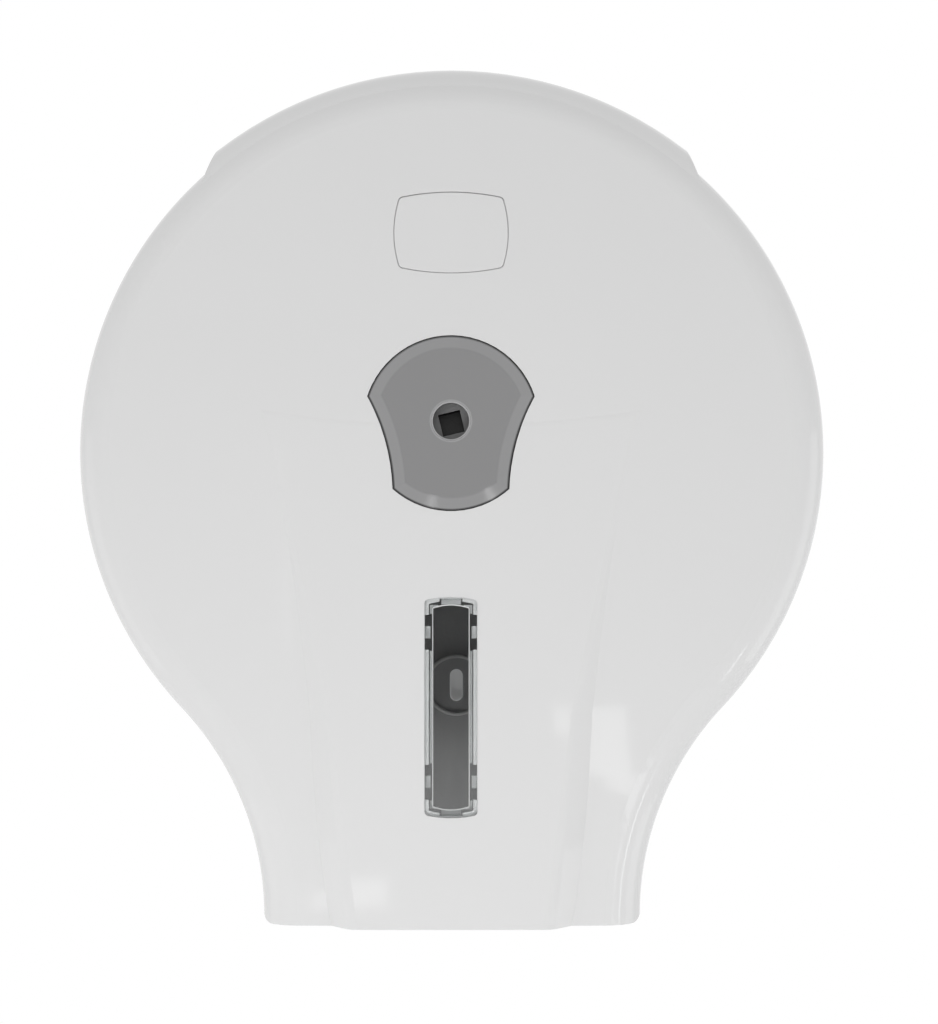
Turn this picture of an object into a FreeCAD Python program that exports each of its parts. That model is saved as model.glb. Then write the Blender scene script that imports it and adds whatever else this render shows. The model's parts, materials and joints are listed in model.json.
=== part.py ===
import FreeCAD, Part
import math
import os
import Sketcher

# Wall-mounted jumbo roll dispenser, in millimetres.
# X runs to the right, Y into the wall and Z up. The wall is the plane Y = 0.
# The origin is the centre of the round case on the wall.
# A reach is a distance out from the wall, so a reach of 125 lies at Y = -125.

doc = FreeCAD.newDocument("Dispenser")
sheet = doc.addObject("Spreadsheet::Sheet", "Sizes")

driving_sizes = [
    # Case outline, seen from the front
    ("case_radius", 135),
    ("flare_radius", 108.5),
    ("tail_half_width", 68.8),
    ("tail_length", 3.5),
    ("tail_corner_radius", 4),
    # Front cover shell
    ("case_depth", 125),
    ("crown_radius", 1800),
    ("shoulder_radius", 14),
    ("cover_wall", 2.8),
    ("rim_standoff", 2),
    ("tail_floor", 3),
    ("brow_rise", 4.5),
    ("brow_setback", 3),
    ("brow_half_angle", 37.5),
    ("brow_run_angle", 2.9),
    # Raised chute panel on the cover
    ("panel_proud", 0.1),
    ("panel_depth", 9.6),
    ("panel_bottom_half_width", 35.4),
    ("panel_middle_half_width", 42.8),
    ("panel_middle_drop", 93.5),
    ("panel_end_half_width", 61.5),
    ("panel_end_rise", 8),
    ("panel_bottom_spread", 8.6),
    ("panel_middle_spread", 22),
    ("panel_end_spread", 40),
    ("panel_edge_radius", 6),
    # Paper mouth and its serrated strips
    ("mouth_rim", 9),
    ("mouth_rear_reach", 30),
    ("mouth_front_margin", 19),
    ("strip_thickness", 1.2),
    ("strip_side_gap", 1.2),
    ("strip_end_gap", 5),
    ("tooth_length", 3),
    ("tooth_pitch", 4),
    ("rivet_radius", 1.2),
    ("rivet_head_radius", 2.2),
    ("rivet_head_height", 0.9),
    # Level window
    ("window_half_width", 9.25),
    ("window_half_height", 39.1),
    ("window_bow", 1.1),
    ("window_corner_radius", 1.6),
    ("window_gap", 0.15),
    ("ledge_width", 1.35),
    ("ledge_setback", 1.5),
    ("lens_border", 2.65),
    ("lens_proud", 0.2),
    ("lens_recess", 0.5),
    ("lens_leg_wall", 0.8),
    ("lens_leg_depth", 1.5),
    ("lens_leg_gap", 0.35),
    ("rail_length", 40),
    ("notch_length", 12.4),
    ("clip_length", 4.4),
    ("clip_offset", 26.6),
    ("clip_overhang", 1.2),
    ("clip_wall", 1.6),
    ("clip_thickness", 2),
    ("clip_play", 0.1),
    ("tab_length", 7),
    ("tab_notch_gap", 0.6),
    # Blank badge plate
    ("badge_half_width", 20.25),
    ("badge_half_height", 14.4),
    ("badge_bow", 2),
    ("badge_corner_radius", 1.8),
    ("badge_thickness", 0.8),
    ("badge_gap", 0.25),
    # Grey lock plate
    ("lock_rise", 9.9),
    ("lock_plate_lower", 0.75),
    ("lock_plate_radius", 30.8),
    ("lock_plate_top_half_width", 29.3),
    ("lock_plate_bottom_half_width", 20.3),
    ("lock_plate_bow", 2),
    ("lock_plate_proud", 0.5),
    ("lock_plate_gap", 0.4),
    ("lock_plate_front", 2.2),
    ("lock_plate_skirt", 2),
    ("bevel_width", 4.6),
    ("bevel_depth", 0.8),
    ("key_hole_radius", 6.45),
    ("key_rim_radius", 0.7),
    ("plate_boss_radius", 3.2),
    ("plate_boss_offset", 19),
    # Lock housing and barrel
    ("seat_setback", 4.2),
    ("seat_radius", 41.5),
    ("seat_thickness", 2.2),
    ("housing_radius", 40.5),
    ("housing_flange", 2.5),
    ("housing_screw_circle", 36.3),
    ("housing_tube_radius", 11),
    ("housing_end_wall", 2.5),
    ("barrel_setback", 9),
    ("barrel_radius", 7.5),
    ("barrel_length", 11),
    ("barrel_fit", 0.05),
    ("neck_radius", 5),
    ("neck_play", 0.2),
    ("socket_side", 8),
    ("socket_depth", 7),
    ("socket_turn", 13.4),
    # Latch behind the barrel
    ("washer_radius", 7.5),
    ("washer_bore_radius", 4.4),
    ("washer_thickness", 0.8),
    ("stub_side", 6),
    ("stub_length", 2.6),
    ("root_radius", 6),
    ("root_thickness", 3),
    ("latch_bar_length", 18),
    ("latch_bar_width", 5.5),
    ("latch_bar_thickness", 4),
    ("latch_front_gap", 2),
    ("latch_rear_gap", 1.5),
    ("latch_screw_radius", 1.5),
    ("latch_screw_grip", 5),
    ("latch_head_radius", 2.5),
    ("latch_head_height", 1.8),
    # Spindle and its keeper
    ("spindle_radius", 20),
    ("spindle_wall", 2.5),
    ("flange_radius", 31),
    ("flange_thickness", 3),
    ("flange_screw_circle", 26.5),
    ("keeper_thickness", 3),
    ("keeper_screw_offset", 13.5),
    ("keeper_boss_radius", 3),
    ("keeper_boss_length", 18),
    ("keeper_slot_side", 0.6),
    ("keeper_slot_above", 1),
    ("keeper_slot_below", 6),
    # Back plate
    ("plate_gap", 0.9),
    ("plate_base", 3),
    ("plate_rim_height", 18),
    ("plate_rim_wall", 2.2),
    ("plate_hinge_gap", 12),
    ("seat_ring_wall", 2.7),
    ("seat_ring_height", 2),
    ("seat_ring_gap", 0.3),
    ("rib_thickness", 2),
    ("rib_height", 5),
    ("pad_radius", 13),
    ("pad_height", 2),
    ("slot_half_width", 2.7),
    ("slot_length", 13.4),
    ("lower_slot_drop", 89.2),
    ("upper_slot_rise", 94.8),
    ("side_hole_offset", 85),
    ("side_hole_radius", 2.75),
    # Hinge at the rear of the tail
    ("hinge_reach", 10.5),
    ("hinge_height", 9),
    ("hinge_pin_radius", 2.5),
    ("hinge_pin_fit", 0.05),
    ("hinge_boss_radius", 6.6),
    ("hinge_boss_length", 6),
    ("hinge_side_gap", 0.5),
    ("ear_thickness", 5),
    ("ear_radius", 6.5),
    ("pin_bite", 1.3),
    ("pin_end_gap", 0.3),
    ("pin_head_radius", 4),
    ("pin_head_height", 1.8),
    ("tail_round_radius", 9.8),
    # Small screws of the cover and spindle
    ("screw_radius", 1.5),
    ("screw_head_radius", 2.8),
    ("screw_head_height", 1.8),
    ("cover_screw_grip", 2.6),
    ("boss_screw_grip", 12),
    ("flange_screw_radius", 2),
    ("flange_screw_head_radius", 3.7),
    ("flange_screw_head_height", 2.4),
    ("flange_screw_grip", 2.4),
    ("screw_fit", 0.02),
    # How far a cutting shape runs past the face that it cuts
    ("overrun", 5),
]

for row, (alias, value) in enumerate(driving_sizes, start=1):
    sheet.set("A%d" % row, alias)
    sheet.set("B%d" % row, str(value))
    sheet.setAlias("B%d" % row, alias)
doc.recompute()


class Dim:
    """A size with its value and the expression that binds it to the sheet."""

    def __init__(self, value, text):
        self.value = value
        self.text = text

    def __add__(self, other):
        other = as_dim(other)
        return Dim(self.value + other.value, "(%s + %s)" % (self.text, other.text))

    def __sub__(self, other):
        other = as_dim(other)
        return Dim(self.value - other.value, "(%s - %s)" % (self.text, other.text))

    def __mul__(self, other):
        other = as_dim(other)
        return Dim(self.value * other.value, "(%s * %s)" % (self.text, other.text))

    def __truediv__(self, other):
        other = as_dim(other)
        return Dim(self.value / other.value, "(%s / %s)" % (self.text, other.text))

    def __neg__(self):
        return Dim(-self.value, "(-1 * %s)" % self.text)


def as_dim(number):
    return number if isinstance(number, Dim) else Dim(float(number), repr(float(number)))


def root(dim):
    return Dim(math.sqrt(dim.value), "sqrt(%s)" % dim.text)


def sine(angle):
    return Dim(math.sin(math.radians(angle.value)), "sin(%s * 1 deg)" % angle.text)


def cosine(angle):
    return Dim(math.cos(math.radians(angle.value)), "cos(%s * 1 deg)" % angle.text)


class Sizes:
    """The driving sizes, each under its own name."""


size = Sizes()
for alias, value in driving_sizes:
    setattr(size, alias, Dim(float(sheet.get(alias)), "Sizes." + alias))

zero = as_dim(0)
right_angle = as_dim(90)
degrees_per_radian = math.degrees(1)


def bind(thing, **dims):
    """Bind properties to sizes, with __ in a name for a dot."""
    for name, dim in dims.items():
        thing.setExpression(name.replace("__", "."), as_dim(dim).text)


def put(thing, x=zero, reach=zero, z=zero):
    """Bind where a piece or tool stands."""
    bind(thing, Placement__Base__x=x, Placement__Base__y=-reach, Placement__Base__z=z)
    return thing


# Sketches, whose corners are bound one by one and whose arcs are bound by radius

def origin_feature(body, role):
    return next(feature for feature in body.Origin.OriginFeatures if feature.Role == role)


def sketch_on(body, role, offset):
    profile = body.newObject("Sketcher::SketchObject", body.Name + "_profile")
    profile.AttachmentSupport = [(origin_feature(body, role), "")]
    profile.MapMode = "FlatFace"
    bind(profile, AttachmentOffset__Base__z=offset)
    return profile


def datum(profile, dim, kind, *where):
    index = profile.addConstraint(Sketcher.Constraint(kind, *where, dim.value))
    profile.setExpression("Constraints[%d]" % index, dim.text)


def arc_between(start, end, bow):
    """Arc of a circle from start to end: bow is (radius, clockwise, long way round)."""
    radius, clockwise, long_way = bow
    half_chord = (end - start).multiply(0.5)
    rise = math.sqrt(max(radius.value ** 2 - half_chord.Length ** 2, 0))
    normal = FreeCAD.Vector(-half_chord.y, half_chord.x, 0).normalize()
    side = -1 if clockwise != long_way else 1
    centre = start + half_chord + normal * (side * rise)
    first, last = (end, start) if clockwise else (start, end)
    first_angle = math.atan2(first.y - centre.y, first.x - centre.x)
    last_angle = math.atan2(last.y - centre.y, last.x - centre.x)
    circle = Part.Circle(centre, FreeCAD.Vector(0, 0, 1), radius.value)
    return Part.ArcOfCircle(circle, first_angle, last_angle)


def draw(profile, corners, bows=None):
    """Closed outline through the corners, with bows for the sides that are arcs."""
    bows = bows or {}
    points = [FreeCAD.Vector(across.value, up.value, 0) for across, up in corners]
    ends = []
    for index, start in enumerate(points):
        end = points[(index + 1) % len(points)]
        if index in bows:
            side = profile.addGeometry(arc_between(start, end, bows[index]), False)
            ends.append((side, 2, 1) if bows[index][1] else (side, 1, 2))
        else:
            side = profile.addGeometry(Part.LineSegment(start, end), False)
            ends.append((side, 1, 2))
    for index, (side, first, last) in enumerate(ends):
        before, before_first, before_last = ends[index - 1]
        profile.addConstraint(Sketcher.Constraint("Coincident", before, before_last, side, first))
    for index, (side, first, last) in enumerate(ends):
        across, up = corners[index]
        datum(profile, across, "DistanceX", -1, 1, side, first)
        datum(profile, up, "DistanceY", -1, 1, side, first)
    for index, bow in bows.items():
        datum(profile, bow[0], "Radius", ends[index][0])


def new_body(name):
    return doc.addObject("PartDesign::Body", name)


def prism(name, corners, bows=None, start=zero, length=zero, role="XZ_Plane"):
    """Outline padded straight out from its plane, which for XZ_Plane is away from the wall."""
    body = new_body(name)
    profile = sketch_on(body, role, start)
    draw(profile, corners, bows)
    pad = body.newObject("PartDesign::Pad", name + "_pad")
    pad.Profile = profile
    bind(pad, Length=length)
    return body


def turned(name, corners, bows=None):
    """Half section, in reach and radius, revolved about the body's own line out from the wall."""
    body = new_body(name)
    profile = sketch_on(body, "YZ_Plane", zero)
    draw(profile, [(-reach, radius) for reach, radius in corners], bows)
    turn = body.newObject("PartDesign::Revolution", name + "_turn")
    turn.Profile = profile
    turn.ReferenceAxis = (origin_feature(body, "Y_Axis"), [""])
    turn.Angle = 360
    return body


def round_long_edges(body, radius, role_axis=FreeCAD.Vector(0, 1, 0)):
    """Fillet the straight edges that run along the given axis."""
    doc.recompute()
    names = []
    for index, edge in enumerate(body.Tip.Shape.Edges, start=1):
        straight = edge.Curve.TypeId == "Part::GeomLine"
        if straight and abs(edge.Curve.Direction.dot(role_axis)) > math.cos(math.radians(1)):
            names.append("Edge%d" % index)
    fillet = body.newObject("PartDesign::Fillet", body.Name + "_fillet")
    fillet.Base = (body.Group[-2], names)
    bind(fillet, Radius=radius)
    return body


# Primitives and booleans

def bar(name, left, right, rear, front, low, high):
    """Box between two places across, two reaches and two heights."""
    box = doc.addObject("Part::Box", name)
    bind(box, Length=right - left, Width=front - rear, Height=high - low)
    return put(box, left, front, low)


def peg(name, radius, rear, front, x=zero, z=zero):
    """Cylinder that points out from the wall."""
    cylinder = doc.addObject("Part::Cylinder", name)
    bind(cylinder, Radius=radius, Height=front - rear)
    cylinder.Placement.Rotation = FreeCAD.Rotation(FreeCAD.Vector(1, 0, 0), right_angle.value)
    return put(cylinder, x, rear, z)


def axle(name, radius, left, right, reach, z):
    """Cylinder that runs across, to the right."""
    cylinder = doc.addObject("Part::Cylinder", name)
    bind(cylinder, Radius=radius, Height=right - left)
    cylinder.Placement.Rotation = FreeCAD.Rotation(FreeCAD.Vector(0, 1, 0), right_angle.value)
    return put(cylinder, left, reach, z)


def fuse(name, *shapes):
    joined = doc.addObject("Part::MultiFuse", name)
    joined.Shapes = list(shapes)
    joined.Refine = True
    return joined


def cut(name, base, *tools):
    tool = tools[0] if len(tools) == 1 else fuse(name + "_tools", *tools)
    left = doc.addObject("Part::Cut", name)
    left.Base = base
    left.Tool = tool
    left.Refine = True
    return left


def common(name, base, tool):
    kept = doc.addObject("Part::Common", name)
    kept.Base = base
    kept.Tool = tool
    kept.Refine = True
    return kept


def stadium(name, half_width, rear, front, low, high):
    """Upright slot shape with round ends, on the centre line."""
    straight = bar(name + "_run", -half_width, half_width, rear, front, low + half_width, high - half_width)
    lower_end = peg(name + "_lower_end", half_width, rear, front, z=low + half_width)
    upper_end = peg(name + "_upper_end", half_width, rear, front, z=high - half_width)
    return fuse(name, straight, lower_end, upper_end)


def group(name, solids):
    compound = doc.addObject("Part::Compound", name)
    compound.Links = solids
    return compound


def copies(master, places):
    """One link to a master solid for each place."""
    links = []
    for index, (x, reach, z) in enumerate(places):
        link = doc.addObject("App::Link", "%s_%d" % (master.Name, index))
        link.LinkedObject = master
        links.append(put(link, x, reach, z))
    return links


def around(radius, count, first_angle):
    """Places on a circle, as shares of its radius in bound sizes."""
    angles = [as_dim(first_angle + 360 * step / count) for step in range(count)]
    return [(radius * cosine(angle), radius * sine(angle)) for angle in angles]


pieces = {}


def finished(label, shape):
    shape.Label = label
    pieces[label] = shape
    return shape


# Case outline, shared by the cover, its cavity and the back plate

def case_outline(inset, drop):
    """Round drum, flares tangent to it and the straight tail, all moved in by the inset."""
    radius = size.case_radius - inset
    flare = size.flare_radius + inset
    half_width = size.tail_half_width - inset
    flare_across = half_width + flare
    flare_down = root((radius + flare) * (radius + flare) - flare_across * flare_across)
    tangent_share = radius / (radius + flare)
    tangent_across = flare_across * tangent_share
    tangent_up = -flare_down * tangent_share
    corners = [
        (-half_width, -drop),
        (half_width, -drop),
        (half_width, -flare_down),
        (tangent_across, tangent_up),
        (-tangent_across, tangent_up),
        (-half_width, -flare_down),
    ]
    bows = {2: (flare, True, False), 3: (radius, False, True), 4: (flare, True, False)}
    return corners, bows


def plate_outline(inset, drop):
    """Case outline cut off in the flares, above the straight tail."""
    radius = size.case_radius - inset
    flare = size.flare_radius + inset
    flare_across = size.tail_half_width - inset + flare
    flare_down = root((radius + flare) * (radius + flare) - flare_across * flare_across)
    tangent_share = radius / (radius + flare)
    above = flare_down - drop
    cut_across = flare_across - root(flare * flare - above * above)
    tangent_across = flare_across * tangent_share
    tangent_up = -flare_down * tangent_share
    corners = [
        (-cut_across, -drop),
        (cut_across, -drop),
        (tangent_across, tangent_up),
        (-tangent_across, tangent_up),
    ]
    bows = {1: (flare, True, False), 2: (radius, False, True), 3: (flare, True, False)}
    return corners, bows


def bowed_rectangle(half_width, half_height, side_bow, end_bow, z):
    """Rectangle whose sides swell out by their bows, in overall half sizes."""
    corner_across = half_width - side_bow
    corner_up = half_height - end_bow
    corners = [
        (-corner_across, z - corner_up),
        (corner_across, z - corner_up),
        (corner_across, z + corner_up),
        (-corner_across, z + corner_up),
    ]
    bows = {}
    if end_bow.value > 0:
        end_radius = (corner_across * corner_across + end_bow * end_bow) / (end_bow * 2)
        bows[0] = (end_radius, False, False)
        bows[2] = (end_radius, False, False)
    if side_bow.value > 0:
        side_radius = (corner_up * corner_up + side_bow * side_bow) / (side_bow * 2)
        bows[1] = (side_radius, False, False)
        bows[3] = (side_radius, False, False)
    return corners, bows


# Reaches that the lock train shares, counted in from the front of the case

front_reach = size.case_depth
crown_reach = front_reach - size.panel_proud
panel_inner_reach = front_reach - size.cover_wall
shoulder_slant = size.crown_radius - size.shoulder_radius
shoulder_across = size.case_radius - size.shoulder_radius
shoulder_centre_reach = crown_reach - size.crown_radius + root(
    shoulder_slant * shoulder_slant - shoulder_across * shoulder_across
)
seat_reach = front_reach - size.seat_setback
housing_rear_reach = seat_reach - size.housing_flange
barrel_front_reach = front_reach - size.barrel_setback
barrel_rear_reach = barrel_front_reach - size.barrel_length
housing_end_reach = barrel_rear_reach - size.housing_end_wall
neck_end_reach = housing_end_reach - size.neck_play
washer_rear_reach = neck_end_reach - size.washer_thickness
root_rear_reach = washer_rear_reach - size.root_thickness
keeper_front_reach = root_rear_reach - size.latch_front_gap
keeper_rear_reach = keeper_front_reach - size.keeper_thickness
latch_front_reach = keeper_rear_reach - size.latch_rear_gap
latch_rear_reach = latch_front_reach - size.latch_bar_thickness

# Heights that follow the outline: the flares end where the straight tail begins

flare_centre_across = size.tail_half_width + size.flare_radius
flare_reach = size.case_radius + size.flare_radius
flare_end_drop = root(flare_reach * flare_reach - flare_centre_across * flare_centre_across)
tail_drop = flare_end_drop + size.tail_length
floor_height = size.tail_floor - tail_drop
hinge_drop = tail_drop - size.hinge_height
plate_drop = hinge_drop - size.plate_hinge_gap
mouth_front_reach = front_reach - size.mouth_front_margin
lock_plate_rise = size.lock_rise - size.lock_plate_lower
lock_plate_top = lock_plate_rise + size.lock_plate_radius
lock_plate_drop = size.lock_plate_radius - lock_plate_rise
window_drop_share = 0.47
window_drop = lock_plate_drop + (tail_drop - lock_plate_drop) * window_drop_share
badge_height_share = 0.39
badge_rise = lock_plate_top + (size.case_radius - lock_plate_top) * badge_height_share
tail_inner_half_width = size.tail_half_width - size.cover_wall
boss_inner_side = tail_inner_half_width - size.hinge_boss_length
ear_outer_side = boss_inner_side - size.hinge_side_gap
ear_inner_side = ear_outer_side - size.ear_thickness
sides = (("left", -1), ("right", 1))
ends = (("lower", -1), ("upper", 1))


# Front cover

def crown_ball(name, inset):
    """Large ball whose front is the gentle crown of the cover."""
    ball = doc.addObject("Part::Sphere", name)
    bind(ball, Radius=size.crown_radius - inset)
    return put(ball, reach=crown_reach - size.crown_radius)


def soften_front(name, base, front_kind, radius, wanted):
    """Fillet those edges of the curved front whose middles are wanted."""
    doc.recompute()
    crown = next(face for face in base.Shape.Faces if face.Surface.TypeId == front_kind)
    edges = []
    for index, edge in enumerate(base.Shape.Edges, start=1):
        on_crown = any(edge.isSame(border) for border in crown.Edges)
        middle = edge.valueAt((edge.FirstParameter + edge.LastParameter) / 2)
        if on_crown and wanted(middle):
            edges.append((index, radius.value, radius.value))
    rounded = doc.addObject("Part::Fillet", name)
    rounded.Base = base
    rounded.Edges = edges
    return rounded


def dome(name, inset, rear, drop):
    """Case outline under the crown, with its front shoulder rounded down to the tail's end."""
    corners, bows = case_outline(inset, drop)
    drum = prism(name + "_drum", corners, bows, rear, front_reach - rear)
    crowned = common(name + "_crowned", drum, crown_ball(name + "_ball", inset))
    above_end = size.screw_fit.value - drop.value
    radius = size.shoulder_radius - inset
    return soften_front(name, crowned, "Part::GeomSphere", radius, lambda middle: middle.z > above_end)


def brow(name, inset, rear):
    """Proud grip along the top of the drum, sloped down at both ends and rounded into the shoulder."""
    outer = size.case_radius + size.brow_rise - inset
    foot = size.case_radius - inset
    inner = size.case_radius / 2
    rounding = size.shoulder_radius - inset
    start = shoulder_centre_reach - size.brow_setback
    ring = turned(name + "_ring", [
        (rear, inner),
        (rear, outer),
        (start, outer),
        (start + rounding, outer - rounding),
        (start + rounding, inner),
    ], {2: (rounding, False, False)})

    top_angle = size.brow_half_angle - inset / size.case_radius * degrees_per_radian
    foot_angle = top_angle + size.brow_run_angle
    top_across, top_up = outer * sine(top_angle), outer * cosine(top_angle)
    foot_across, foot_up = foot * sine(foot_angle), foot * cosine(foot_angle)
    deeper = size.shoulder_radius / size.brow_rise
    ceiling = outer + size.overrun
    half = [
        (foot_across + (foot_across - top_across) * deeper, foot_up + (foot_up - top_up) * deeper),
        (top_across * 2 - foot_across, top_up * 2 - foot_up),
        (top_across * 2 - foot_across, ceiling),
    ]
    corners = half + [(-across, up) for across, up in reversed(half)]
    sector = prism(name + "_sector", corners, {}, rear, front_reach - rear)
    return common(name, ring, sector)


def panel_corners(inset, drop, spread):
    """Chute panel from the tail's end up to the lock, widened by its spreads towards the foot."""
    half = [
        (size.panel_bottom_half_width - inset + size.panel_bottom_spread * spread, -drop),
        (size.panel_middle_half_width - inset + size.panel_middle_spread * spread, -size.panel_middle_drop),
        (
            size.panel_end_half_width - inset + size.panel_end_spread * spread,
            size.panel_end_rise - inset + size.panel_end_spread * spread,
        ),
    ]
    return half + [(-across, up) for across, up in reversed(half)]


def chute_panel(name, inset, drop):
    """Raised panel, upright along the case but bowed across like the crown, with sloped sides."""
    body = new_body(name)
    foot = sketch_on(body, "XZ_Plane", front_reach - inset - size.panel_depth)
    draw(foot, panel_corners(inset, drop, as_dim(1)))
    face = sketch_on(body, "XZ_Plane", front_reach - inset + size.overrun)
    draw(face, panel_corners(inset, drop, -size.overrun / size.panel_depth))
    loft = body.newObject("PartDesign::AdditiveLoft", name + "_loft")
    loft.Profile = foot
    loft.Sections = [face]
    loft.Ruled = True
    roller = doc.addObject("Part::Cylinder", name + "_roller")
    bind(roller, Radius=size.crown_radius - inset, Height=tail_drop * 2)
    put(roller, reach=front_reach - size.crown_radius, z=-tail_drop - size.overrun)
    bowed = common(name + "_bowed", body, roller)
    above_end = size.screw_fit.value - drop.value
    radius = size.panel_edge_radius - inset
    return soften_front(name, bowed, "Part::GeomCylinder", radius, lambda middle: middle.z > above_end)


def tail_corner(name, side):
    """What is cut off a bottom corner of the tail to round it."""
    radius = size.tail_corner_radius
    edge = size.tail_half_width
    bottom = -tail_drop
    corners = [
        ((edge - radius) * side, bottom),
        ((edge - radius) * side, bottom - size.overrun),
        ((edge + size.overrun) * side, bottom - size.overrun),
        ((edge + size.overrun) * side, bottom + radius),
        (edge * side, bottom + radius),
    ]
    bows = {4: (radius, side > 0, False)}
    return prism(name, corners, bows, -size.overrun, front_reach + size.overrun * 2)


def lock_plate_outline(grow):
    """Two arcs of one circle above and below, and sides that bow inwards."""
    radius = size.lock_plate_radius + grow
    top = size.lock_plate_top_half_width + grow
    bottom = size.lock_plate_bottom_half_width + grow
    top_up = root(radius * radius - top * top)
    bottom_down = root(radius * radius - bottom * bottom)
    lean = top - bottom
    tall = top_up + bottom_down
    half_side = root(lean * lean + tall * tall) / 2
    bow = size.lock_plate_bow
    side_radius = (half_side * half_side + bow * bow) / (bow * 2)
    corners = [
        (-bottom, lock_plate_rise - bottom_down),
        (bottom, lock_plate_rise - bottom_down),
        (top, lock_plate_rise + top_up),
        (-top, lock_plate_rise + top_up),
    ]
    bows = {
        0: (radius, False, False),
        1: (side_radius, True, False),
        2: (radius, False, False),
        3: (side_radius, True, False),
    }
    return corners, bows


def window_outline(grow, border):
    half_width = size.window_half_width + grow - border
    half_height = size.window_half_height + grow - border
    return bowed_rectangle(half_width, half_height, zero, size.window_bow, -window_drop)


def window_cuts(through_rear, through):
    """Rebate for the lens, the opening inside its ledge and the notches for the clips and tabs."""
    rebate_corners, rebate_bows = window_outline(size.window_gap, zero)
    rebate = prism(
        "window_rebate", rebate_corners, rebate_bows, front_reach - size.ledge_setback,
        size.ledge_setback + size.overrun,
    )
    round_long_edges(rebate, size.window_corner_radius + size.window_gap)
    inner_corners, inner_bows = window_outline(zero, size.ledge_width)
    cuts = [rebate, prism("window_opening", inner_corners, inner_bows, through_rear, through)]
    half_width = size.window_half_width
    half_notch = size.notch_length / 2
    for end_name, end in ends:
        middle = size.clip_offset * end - window_drop
        cuts.append(bar(
            "clip_notch_" + end_name, -half_width, half_width, through_rear, front_reach,
            middle - half_notch, middle + half_notch,
        ))
    half_tab_notch = size.tab_length / 2 + size.tab_notch_gap
    cuts.append(bar(
        "tab_notch", -half_tab_notch, half_tab_notch, through_rear, front_reach,
        -window_drop - size.window_half_height + size.window_bow / 2,
        size.window_half_height - size.window_bow / 2 - window_drop,
    ))
    return cuts


def badge_outline(grow):
    half_width = size.badge_half_width + grow
    half_height = size.badge_half_height + grow
    return bowed_rectangle(half_width, half_height, size.badge_bow, size.badge_bow, badge_rise)


housing_screw_places = [
    (x, housing_rear_reach, size.lock_rise + z) for x, z in around(size.housing_screw_circle, 4, 45)
]


def front_cover():
    wall = size.cover_wall
    wide = size.tail_half_width + size.overrun
    low = -tail_drop - size.overrun
    high = floor_height + size.overrun
    outer = fuse(
        "cover_outer",
        dome("cover_dome", zero, size.rim_standoff, tail_drop),
        chute_panel("cover_panel", zero, tail_drop),
        brow("cover_brow", zero, size.rim_standoff),
    )
    cavity = fuse(
        "cover_cavity",
        dome("cavity_dome", wall, -size.overrun, tail_drop),
        chute_panel("cavity_panel", wall, tail_drop),
        brow("cavity_brow", wall, -size.overrun),
    )
    floor = bar("floor_block", -wide, wide, -size.overrun * 2, front_reach, low, floor_height)
    shell = cut("cover_shell", outer, cut("cavity_above_floor", cavity, floor))

    seat = peg("lock_seat", size.seat_radius, seat_reach, seat_reach + size.seat_thickness, z=size.lock_rise)
    bosses = []
    bores = []
    for name, side in sides:
        left = boss_inner_side if side > 0 else -tail_inner_half_width - wall / 2
        right = tail_inner_half_width + wall / 2 if side > 0 else -boss_inner_side
        bosses.append(axle(
            "hinge_boss_" + name, size.hinge_boss_radius, left, right, size.hinge_reach, -hinge_drop,
        ))
        bore_end = tail_inner_half_width + size.pin_bite + size.pin_end_gap
        bore_left = boss_inner_side - size.overrun if side > 0 else -bore_end
        bore_right = bore_end if side > 0 else -boss_inner_side + size.overrun
        bore_radius = size.hinge_pin_radius + size.hinge_pin_fit
        bores.append(
            axle("hinge_bore_" + name, bore_radius, bore_left, bore_right, size.hinge_reach, -hinge_drop)
        )
    built_up = fuse("cover_built_up", shell, seat, *bosses)

    through = size.seat_setback + size.overrun * 2
    through_rear = front_reach + size.overrun - through
    lock_corners, lock_bows = lock_plate_outline(size.lock_plate_gap)
    lock = prism("lock_opening", lock_corners, lock_bows, through_rear, through)
    badge_corners, badge_bows = badge_outline(size.badge_gap)
    badge = prism("badge_block", badge_corners, badge_bows, front_reach - through + size.overrun, through)
    round_long_edges(badge, size.badge_corner_radius + size.badge_gap)
    badge_pocket = cut("badge_pocket", badge, crown_ball("badge_floor_ball", size.badge_thickness))

    mouth_half_width = tail_inner_half_width - size.mouth_rim
    mouth = bar(
        "mouth", -mouth_half_width, mouth_half_width, -size.overrun, mouth_front_reach, low, high
    )
    gap_half_width = ear_outer_side + size.hinge_side_gap / 2
    rear_gap = bar(
        "rear_gap", -gap_half_width, gap_half_width, -size.overrun, size.mouth_rear_reach, low, high
    )
    round_block = bar(
        "tail_round_block", -wide, wide, -size.overrun, size.hinge_reach, low, -hinge_drop
    )
    round_core = axle(
        "tail_round_core", size.tail_round_radius, -wide - size.overrun, wide + size.overrun,
        size.hinge_reach, -hinge_drop,
    )
    tail_round = cut("tail_round", round_block, round_core)
    screw_holes = [
        peg("cover_screw_hole_%d" % index, size.screw_radius + size.screw_fit, seat_reach - size.overrun,
            seat_reach + size.cover_screw_grip + size.screw_fit, x, z)
        for index, (x, reach, z) in enumerate(housing_screw_places)
    ]
    corners = [tail_corner("tail_corner_" + name, side) for name, side in sides]
    rivet_holes = [
        rivet_hole("rivet_hole_%d" % index, x, reach) for index, (x, reach, z) in enumerate(rivet_places())
    ]
    with_mouth = cut("cover_with_mouth", built_up, mouth, rear_gap)
    with_ends = cut("cover_with_ends", with_mouth, tail_round, *corners)
    openings = [lock, badge_pocket] + window_cuts(through_rear, through)
    with_openings = cut("cover_with_openings", with_ends, *openings)
    finished("front_cover", cut("cover_drilled", with_openings, *(bores + screw_holes + rivet_holes)))


# Serrated strips that lie on the side rims of the paper mouth

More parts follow.
